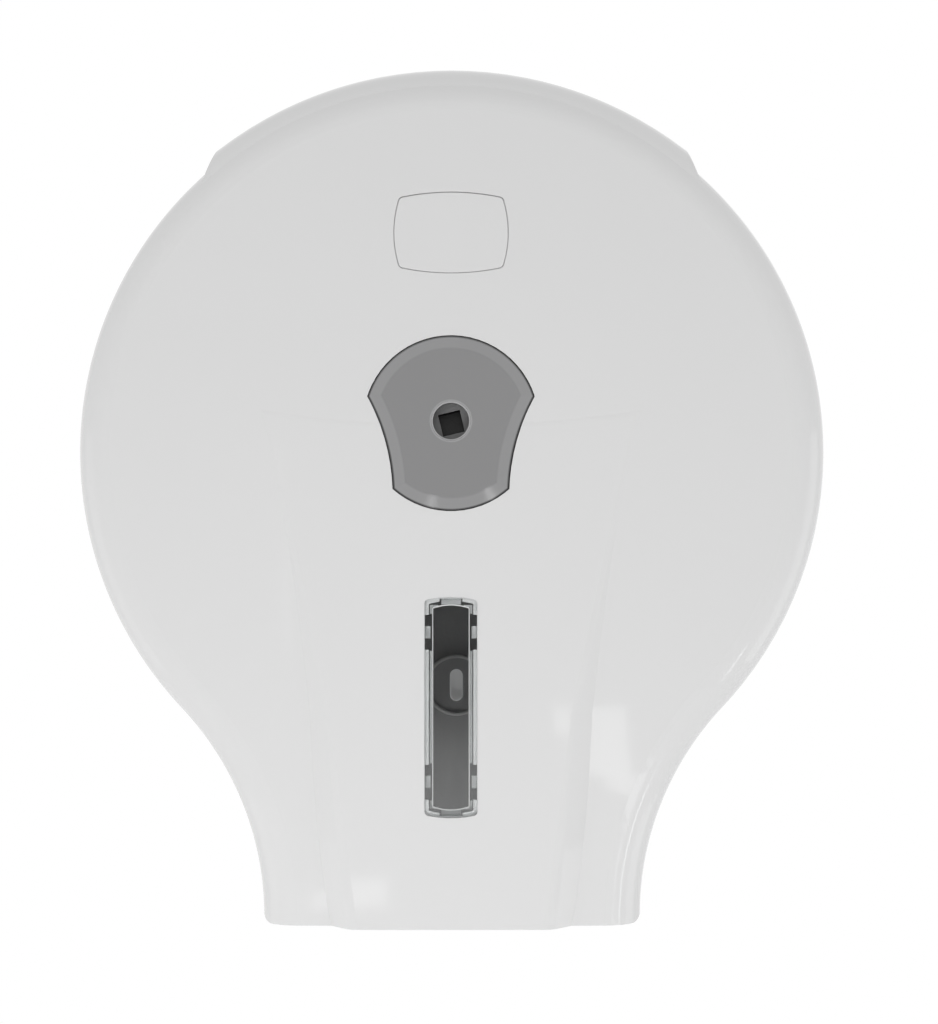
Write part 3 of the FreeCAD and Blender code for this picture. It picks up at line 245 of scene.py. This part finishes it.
def plastic(name, look, shading=None):
    material, tree, shader = newMaterial(name)
    skin = layOn(tree, shader, mouldedSkin, {
        "Tone": (*look["tone"], 1),
        "Cloud": look["cloud"],
        "Gloss": look["gloss"],
        "Wiping": look["wiping"],
        "Grain Scale": look["grainScale"],
    })
    if shading:
        shaded = scaledColor(tree, skin.outputs["Color"], shading(tree))
        tree.links.new(shaded, shader.inputs["Base Color"])
    normal = bumpNode(tree, skin.outputs["Height"], look["grain"], look["grainDepth"])
    tree.links.new(normal, shader.inputs["Normal"])
    shader.inputs["IOR"].default_value = look["ior"]
    return material


def metal(name, look):
    material, tree, shader = newMaterial(name)
    skin = layOn(tree, shader, workedMetal, {
        "Tone": (*look["tone"], 1),
        "Gloss": look["gloss"],
        "Line Scale": look["lineScale"],
    })
    normal = bumpNode(tree, skin.outputs["Height"], look["lines"], metalLook["lineDepth"])
    tree.links.new(normal, shader.inputs["Normal"])
    shader.inputs["Metallic"].default_value = 1.0
    return material


def axisPlace(tree, axis):
    split = tree.nodes.new("ShaderNodeSeparateXYZ")
    tree.links.new(objectPlace(tree), split.inputs[0])
    return split.outputs[axis]


def depthBehind(tree, nodeName, start, end):
    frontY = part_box(nodeName)[0][1]
    return rampNode(tree, axisPlace(tree, "Y"), frontY + start, frontY + end)


def dress(material, *names):
    for name in names:
        nodes[name].data.materials.clear()
        nodes[name].data.materials.append(material)


def softCopy(name, nodeName, look):
    bpy.ops.object.select_all(action="DESELECT")
    nodes[nodeName].select_set(True)
    bpy.context.view_layer.objects.active = nodes[nodeName]
    bpy.ops.object.duplicate()
    piece = bpy.context.object
    piece.name = name
    bpy.ops.mesh.customdata_custom_splitnormals_clear()
    bpy.ops.object.mode_set(mode="EDIT")
    bpy.ops.mesh.select_all(action="SELECT")
    bpy.ops.mesh.remove_doubles(threshold=look["weld"])
    bpy.ops.mesh.dissolve_limited(angle_limit=math.radians(look["flatAngle"]))
    bpy.ops.object.mode_set(mode="OBJECT")
    bpy.ops.object.shade_smooth_by_angle(angle=math.radians(look["smoothAngle"]))
    edge = piece.modifiers.new("softEdge", "BEVEL")
    edge.width = look["edge"]
    edge.segments = look["steps"]
    edge.limit_method = "ANGLE"
    edge.angle_limit = math.radians(look["edgeAngle"])
    edge.harden_normals = True
    bpy.ops.object.modifier_apply(modifier=edge.name)
    return piece


def standIn(piece, nodeName, body, material):
    piece.data.materials.clear()
    piece.data.materials.append(material)
    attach(piece, body)
    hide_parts(nodeName)


# white cover and badge
coverLook = {
    "tone": (0.67, 0.67, 0.67),
    "cloud": 0.02,
    "gloss": 0.045,
    "wiping": 0.03,
    "grainScale": 260.0,
    "grain": 0.015,
    "grainDepth": 0.0004,
    "ior": 1.5,
}
badgeEdge = {"weld": 1e-6, "flatAngle": 1.0, "edge": 0.0003, "steps": 3, "edgeAngle": 35, "smoothAngle": 40}
coverWhite = plastic("coverWhite", coverLook)
dress(coverWhite, "front_cover")
badgeBlank = softCopy("badgeBlank", "badge_plate", badgeEdge)
standIn(badgeBlank, "badge_plate", "cover", coverWhite)
print("cover dressed")

# grey lock plate: painted highlight on the bevelled slope and on the key hole rim, painted shade on its
# sides in the gap
lockLook = {
    "tone": (0.194, 0.194, 0.196),
    "cloud": 0.04,
    "gloss": 0.05,
    "wiping": 0.03,
    "grainScale": 2600.0,
    "grain": 0.02,
    "grainDepth": 0.0003,
    "ior": 1.75,
    "slope": (0.00002, 0.00014),  # depths behind the plate's front
    # slopeLift and rimLift are painted highlight, sideLoss is painted shade
    "slopeLift": 0.19,
    "rim": (0.0077, 0.0072),  # distances from the key's axis
    "rimLift": 0.6,
    "side": (0.00069, 0.00077),
    "sideLoss": -0.85,
}
joints = {joint["name"]: joint for joint in frame["record"]["behaviour"]["joints"]}
keyAxis = joints["lock_turn"]["pos_m"]


# painted highlight: the slope and the key hole rim are lightened; painted shade: the sides are darkened
def paintedEdgeLightAndShade(tree):
    slope = depthBehind(tree, "lock_plate", *lockLook["slope"])
    onAxis = mappingNode(tree, objectPlace(tree), (1, 0, 1))
    onAxis.inputs["Location"].default_value = (-keyAxis[0], 0, -keyAxis[2])
    rim = rampNode(tree, lengthNode(tree, onAxis.outputs[0]), *lockLook["rim"])
    side = depthBehind(tree, "lock_plate", *lockLook["side"])
    level = raised(tree, 1.0, slope, lockLook["slopeLift"])
    level = raised(tree, level, rim, lockLook["rimLift"])
    return mathNode(tree, "MULTIPLY", level, raised(tree, 1.0, side, lockLook["sideLoss"]))


dress(plastic("lockGrey", lockLook, paintedEdgeLightAndShade), "lock_plate")

# dark lock works
worksLook = {
    "tone": (0.06, 0.06, 0.062),
    "cloud": 0.15,
    "gloss": 0.4,
    "wiping": 0.2,
    "grainScale": 1500.0,
    "grain": 0.2,
    "grainDepth": 0.0003,
    "ior": 1.48,
}
dress(plastic("worksDark", worksLook), "lock_housing")

# turning barrel: worn grey face, with painted shade darkening its square socket
barrelLook = {
    "tone": (0.28, 0.28, 0.283),
    "cloud": 0.25,
    "gloss": 0.4,
    "wiping": 0.2,
    "grainScale": 1200.0,
    "grain": 0.3,
    "grainDepth": 0.0003,
    "ior": 1.48,
    "socket": (0.00015, 0.0003),  # depths behind the barrel's face
    "socketLoss": -0.99,
}


# painted shade: darker behind the barrel's face, inside the socket
def socketPaintedShade(tree):
    depth = depthBehind(tree, "lock_barrel", *barrelLook["socket"])
    return raised(tree, 1.0, depth, barrelLook["socketLoss"])


dress(plastic("barrelGrey", barrelLook, socketPaintedShade), "lock_barrel")
print("lock dressed")

# grey back plate and spindle, with painted light making the plate paler, in streaks, towards the bottom
# above the mouth
backLook = {
    "tone": (0.22, 0.22, 0.22),
    "cloud": 0.08,
    "gloss": 0.45,
    "wiping": 0.15,
    "grainScale": 700.0,
    "grain": 0.15,
    "grainDepth": 0.0004,
    "ior": 1.48,
    "dust": (-0.094, -0.113),  # heights where it starts and is full
    "dustLift": 0.5,
    "dustScale": 240.0,
    "dustDetail": 4.0,
    "dustStreak": 0.8,
    "dustStretch": (1.0, 1.0, 0.3),
}


# painted light: the plate gets paler towards the bottom, where light comes in through the mouth
def paintedMouthLight(tree):
    low = rampNode(tree, axisPlace(tree, "Z"), *backLook["dust"])
    streaks = noiseNode(
        tree, mappingNode(tree, objectPlace(tree), backLook["dustStretch"]).outputs[0],
        backLook["dustScale"], backLook["dustDetail"],
    )
    spread = raised(tree, 1.0, aroundZero(tree, streaks), backLook["dustStreak"])
    return raised(tree, 1.0, mathNode(tree, "MULTIPLY", low, spread), backLook["dustLift"])


dress(plastic("backGrey", backLook, paintedMouthLight), "back_plate", "spindle")

# raised rims round the screw pads of the back plate, paler than the plate as painted light on them
rimLook = {
    # paler than the back plate's tone: painted light on the rims
    "tone": (0.4, 0.4, 0.4),
    "radius": 0.0128,
    "wall": 0.0014,
    "padReach": 0.005,
    "height": 0.0018,
    "sink": 0.0003,
    "round": 0.0004,
    "roundSteps": 3,
    "sides": 72,
    "smoothAngle": 50,
}


def padPlaces():
    mounts = {mount["name"]: mount for mount in frame["record"]["mounts"]}
    slots, holes = mounts["wall_slots"], mounts["wall_holes"]
    rise = slots["dims"]["spacing_y_mm"] / 2000  # half of it, in metres
    spread = holes["dims"]["spacing_x_mm"] / 2000
    return {
        "Lower": (0, slots["pos_m"][2] - rise),
        "Upper": (0, slots["pos_m"][2] + rise),
        "Left": (-spread, holes["pos_m"][2]),
        "Right": (spread, holes["pos_m"][2]),
    }


def firstRim():
    depth = rimLook["height"] + rimLook["sink"]
    bpy.ops.object.select_all(action="DESELECT")
    bpy.ops.mesh.primitive_cylinder_add(
        vertices=rimLook["sides"], radius=rimLook["radius"], depth=depth, end_fill_type="NOTHING",
        location=(0, rimLook["sink"] - rimLook["padReach"] - depth / 2, 0), rotation=(math.pi / 2, 0, 0),
    )
    rim = bpy.context.object
    bpy.ops.object.transform_apply(location=True, rotation=True)
    wall = rim.modifiers.new("wall", "SOLIDIFY")
    wall.thickness = rimLook["wall"]
    wall.offset = -1.0
    bpy.ops.object.modifier_apply(modifier=wall.name)
    crest = rim.modifiers.new("crest", "BEVEL")
    crest.width = rimLook["round"]
    crest.segments = rimLook["roundSteps"]
    crest.limit_method = "ANGLE"
    bpy.ops.object.modifier_apply(modifier=crest.name)
    bpy.ops.object.shade_smooth_by_angle(angle=math.radians(rimLook["smoothAngle"]))
    rim.data.materials.append(plastic("rimPale", {**backLook, "tone": rimLook["tone"]}))
    return rim


def padRims():
    rim = firstRim()
    lastX, lastZ = 0, 0
    for number, (name, (x, z)) in enumerate(padPlaces().items()):
        if number:
            bpy.ops.object.duplicate()
            rim = bpy.context.object
        rim.name = "padRim" + name
        rim.location = (x - lastX, 0, z - lastZ)
        bpy.ops.object.transform_apply(location=True)
        lastX, lastZ = x, z
        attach(rim, "back")


padRims()
print("back plate dressed")

# metal pieces
zincLook = {"tone": (0.5, 0.5, 0.49), "gloss": 0.42, "lineScale": 300.0, "lines": 0.15}
steelLook = {"tone": (0.6, 0.6, 0.6), "gloss": 0.25, "lineScale": 900.0, "lines": 0.1}
dress(metal("castZinc", zincLook), "latch_tongue", "spindle_keeper")
dress(
    metal("platedSteel", steelLook),
    "latch_washer", "latch_screw", "lock_housing_screws", "lock_plate_screws", "spindle_screws",
    "keeper_screws", "hinge_pin_left", "hinge_pin_right", "tear_strip_left", "tear_strip_right",
    "tear_strip_rivets",
)
print("metal dressed")

# clear level window, with rough ends and rim
lensLook = {
    "tone": (0.88, 0.89, 0.89),
    "cloud": 0.01,
    "gloss": 0.03,
    "wiping": 0.04,
    "ior": 1.2,
    "shade": (0.72, 0.73, 0.73),
    "lift": 0.0001,
    "ledgeReach": 0.1235,
    "paneReach": 0.1247,
    "paneDraft": 0.0003,
    "endFacing": 0.9,
    "rimFacing": 0.98,
}
frostLook = {"tone": (0.70, 0.71, 0.71), "cloud": 0.1, "gloss": 0.5, "wiping": 0.1}
lensEdge = {"weld": 1e-6, "flatAngle": 1.0, "edge": 0.00012, "steps": 2, "edgeAngle": 35, "smoothAngle": 40}


def smoothSkin(tree, shader, look):
    layOn(tree, shader, mouldedSkin, {
        "Tone": (*look["tone"], 1),
        "Cloud": look["cloud"],
        "Gloss": look["gloss"],
        "Wiping": look["wiping"],
    })


def clearPlastic():
    material, tree, shader = newMaterial("windowClear")
    smoothSkin(tree, shader, lensLook)
    shader.inputs["Transmission Weight"].default_value = 1.0
    shader.inputs["IOR"].default_value = lensLook["ior"]
    passing = tree.nodes.new("ShaderNodeBsdfTransparent")
    passing.inputs["Color"].default_value = (*lensLook["shade"], 1)
    path = tree.nodes.new("ShaderNodeLightPath")
    mixShaders(tree, path.outputs["Is Shadow Ray"], shader, passing)  # light passes straight in
    return material


def frostedPlastic():
    material, tree, shader = newMaterial("windowFrost")
    smoothSkin(tree, shader, frostLook)
    return material


def levelWindow():
    low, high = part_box("window_lens")
    middleZ = (low[2] + high[2]) / 2
    near = lensLook["lift"] / 2
    piece = softCopy("levelWindow", "window_lens", lensEdge)
    for point in piece.data.vertices:
        if abs(point.co.y + lensLook["ledgeReach"]) < near:  # clear of the ledge behind it
            point.co.y -= lensLook["lift"]
        elif abs(point.co.y + lensLook["paneReach"]) < near:  # sloped rim of the pane
            point.co.x -= math.copysign(lensLook["paneDraft"], point.co.x)
            point.co.z -= math.copysign(lensLook["paneDraft"], point.co.z - middleZ)
    standIn(piece, "window_lens", "cover", clearPlastic())
    piece.data.materials.append(frostedPlastic())
    for face in piece.data.polygons:  # rail and clip ends and the pane's rim are left rough by the mould
        behindLedge = face.center.y > lensLook["lift"] - lensLook["ledgeReach"]
        legEnd = behindLedge and face.normal.y > lensLook["endFacing"]
        inFront = face.center.y < -lensLook["paneReach"] - lensLook["lift"]
        inward = face.normal.x * face.center.x + face.normal.z * (face.center.z - middleZ) < 0
        if legEnd or (inFront and inward and abs(face.normal.y) < lensLook["rimFacing"]):
            face.material_index = 1


levelWindow()
print("window dressed")

# floor, wall and light
stageLook = {
    "floorDrop": 0.62,
    "floorRadius": 1.5,
    "floorSides": 96,
    "floorSkin": {"Tone": (0.8, 0.8, 0.8, 1), "Cloud": 0.02, "Gloss": 0.7},
    "fadeStart": 0.12,
    "fadeEnd": 0.55,
    "wallRadius": 0.104,
    "wallSides": 48,
    "wallGap": 0.0005,
    "wallSkin": {"Tone": (0.9, 0.9, 0.9, 1), "Cloud": 0.04, "Gloss": 0.8},
    "wallGlow": 0.06,
    "ambient": 0.82,
    "keyPower": 0.35,
    "keySize": 1.2,
    "keyPlace": (-0.5, -1.4, 0.9),
    "keyAim": (0, -0.1, 0),
    "fillPower": 3.15,
    "fillSize": 0.4,
    "fillPlace": (-0.12, -0.65, -0.6),
    "fillAim": (0, -0.1, -0.1),
    "sidePower": {"right": 0.58, "left": 0.28},
    "sideSize": (0.4, 0.6),
    "sidePlace": (0.8, -0.12, -0.2),
    "sideAim": (0, -0.1, -0.1),
    "panePlaces": [  # place, width, height, glow and lean of what the gloss mirrors
        ((0.19, -1.125, -0.3), 0.042, 0.094, 1.8, 0),
        ((0.45, -1.125, -0.473), 0.58, 0.03, 1.6, -26),
        ((0.1155, -1.125, -0.162), 0.018, 0.026, 1.7, 0),
        ((-0.123, -1.125, -0.315), 0.05, 0.025, 1.8, 0),
        ((-0.195, -1.125, -0.52), 0.022, 0.026, 1.8, 0),
        ((-0.24, -1.125, -0.052), 0.004, 0.264, 1.5, 0),
        ((0.70, -0.62, -0.474), 0.07, 0.12, 4.0, 0),
    ],
}


# rays that see the backdrop itself, not its light
def seeingRays(tree):
    path = tree.nodes.new("ShaderNodeLightPath")
    seen = mathNode(tree, "MAXIMUM", path.outputs["Is Camera Ray"], path.outputs["Is Glossy Ray"])
    return mathNode(tree, "MAXIMUM", seen, path.outputs["Is Transmission Ray"])


def litWorld():
    world = bpy.data.worlds.new("paleStudio")
    bpy.context.scene.world = world
    world.use_nodes = True
    tree = world.node_tree
    lit = tree.nodes["Background"]
    lit.inputs["Color"].default_value = (1, 1, 1, 1)
    lit.inputs["Strength"].default_value = stageLook["ambient"]
    shown = tree.nodes.new("ShaderNodeBackground")
    shown.inputs["Color"].default_value = (1, 1, 1, 1)
    shown.inputs["Strength"].default_value = 1.0
    mixShaders(tree, seeingRays(tree), lit, shown, "World Output")


def softLight(name, place, power, width, height, target, lean=0):
    bpy.ops.object.light_add(type="AREA", location=place)
    lamp = bpy.context.object
    lamp.name = name
    lamp.data.shape = "RECTANGLE"
    lamp.data.size = width
    lamp.data.size_y = height
    lamp.data.energy = power
    lamp.visible_camera = False
    lamp.rotation_euler = (Vector(target) - Vector(place)).to_track_quat("-Z", "Y").to_euler()
    lamp.rotation_euler.rotate_axis("Z", math.radians(lean))
    return lamp


def paleFloor():
    bpy.ops.object.select_all(action="DESELECT")
    bpy.ops.mesh.primitive_circle_add(
        vertices=stageLook["floorSides"], radius=stageLook["floorRadius"], fill_type="NGON",
        location=(0, 0, -stageLook["floorDrop"]),
    )
    floor = bpy.context.object
    floor.name = "paleFloor"
    material, tree, shader = newMaterial("floorPale")
    layOn(tree, shader, mouldedSkin, stageLook["floorSkin"])
    away = lengthNode(tree, objectPlace(tree))
    fade = rampNode(tree, away, stageLook["fadeStart"], stageLook["fadeEnd"], "SMOOTHSTEP")
    white = tree.nodes.new("ShaderNodeEmission")
    mixShaders(tree, mathNode(tree, "MULTIPLY", seeingRays(tree), fade), shader, white)
    floor.data.materials.append(material)


def paleWall():
    bpy.ops.object.select_all(action="DESELECT")
    bpy.ops.mesh.primitive_circle_add(
        vertices=stageLook["wallSides"], radius=stageLook["wallRadius"], fill_type="NGON",
        location=(0, stageLook["wallGap"], 0), rotation=(math.pi / 2, 0, 0),
    )
    wall = bpy.context.object
    wall.name = "paleWall"
    material, tree, shader = newMaterial("wallPale")
    layOn(tree, shader, mouldedSkin, stageLook["wallSkin"])
    shader.inputs["Emission Color"].default_value = stageLook["wallSkin"]["Tone"]
    shader.inputs["Emission Strength"].default_value = stageLook["wallGlow"]
    clear = tree.nodes.new("ShaderNodeBsdfTransparent")
    facing = tree.nodes.new("ShaderNodeNewGeometry")
    path = tree.nodes.new("ShaderNodeLightPath")
    looking = mathNode(tree, "MAXIMUM", path.outputs["Is Camera Ray"], path.outputs["Is Transmission Ray"])
    front = mathNode(tree, "SUBTRACT", 1.0, facing.outputs["Backfacing"])
    shown = mathNode(tree, "MULTIPLY", looking, front)  # only for a look through the slots
    mixShaders(tree, shown, clear, shader)
    wall.data.materials.append(material)


# camera: square to the wall, where one pixel of the drum's outline is metresPerPixel
cameraLook = {
    "distance": 0.6745,
    "metresPerPixel": 0.0003619,
    "pictureSize": (938, 1024),
    "drumPixel": (451.7, 452.1),
    "axisPixel": (486.0, 598.0),
    "outlineReach": 0.1105,
    "sensor": 24.0,
}


def squareCamera():
    width, height = cameraLook["pictureSize"]
    axisX, axisY = cameraLook["axisPixel"]
    drumX, drumY = cameraLook["drumPixel"]
    step = cameraLook["metresPerPixel"]
    place = (
        (axisX - drumX) * step,
        -cameraLook["outlineReach"] - cameraLook["distance"],
        (drumY - axisY) * step,
    )
    bpy.ops.object.camera_add(location=place, rotation=(math.pi / 2, 0, 0))
    camera = bpy.context.object
    camera.data.sensor_fit = "VERTICAL"
    camera.data.sensor_height = cameraLook["sensor"]
    camera.data.sensor_width = cameraLook["sensor"]
    camera.data.lens = cameraLook["sensor"] * cameraLook["distance"] / (height * step)
    camera.data.shift_x = (width / 2 - axisX) / height
    camera.data.shift_y = (axisY - height / 2) / height
    bpy.context.scene.camera = camera


litWorld()
paleFloor()
paleWall()
keySize, fillSize = stageLook["keySize"], stageLook["fillSize"]
softLight("keyLight", stageLook["keyPlace"], stageLook["keyPower"], keySize, keySize, stageLook["keyAim"])
fill = softLight(
    "fillLight", stageLook["fillPlace"], stageLook["fillPower"], fillSize, fillSize, stageLook["fillAim"],
)
fill.visible_glossy = False  # no square of light in the gloss
sideX, sideY, sideZ = stageLook["sidePlace"]
for side, power in stageLook["sidePower"].items():
    place = (sideX if side == "right" else -sideX, sideY, sideZ)
    softLight(side + "Light", place, power, *stageLook["sideSize"], stageLook["sideAim"])
for number, (place, width, height, glow, lean) in enumerate(stageLook["panePlaces"]):
    power = glow * math.pi * width * height
    softLight("paneLight%d" % number, place, power, width, height, (place[0], 0, place[2]), lean)
squareCamera()
bpy.context.scene.view_settings.view_transform = "Standard"
print("stage set")
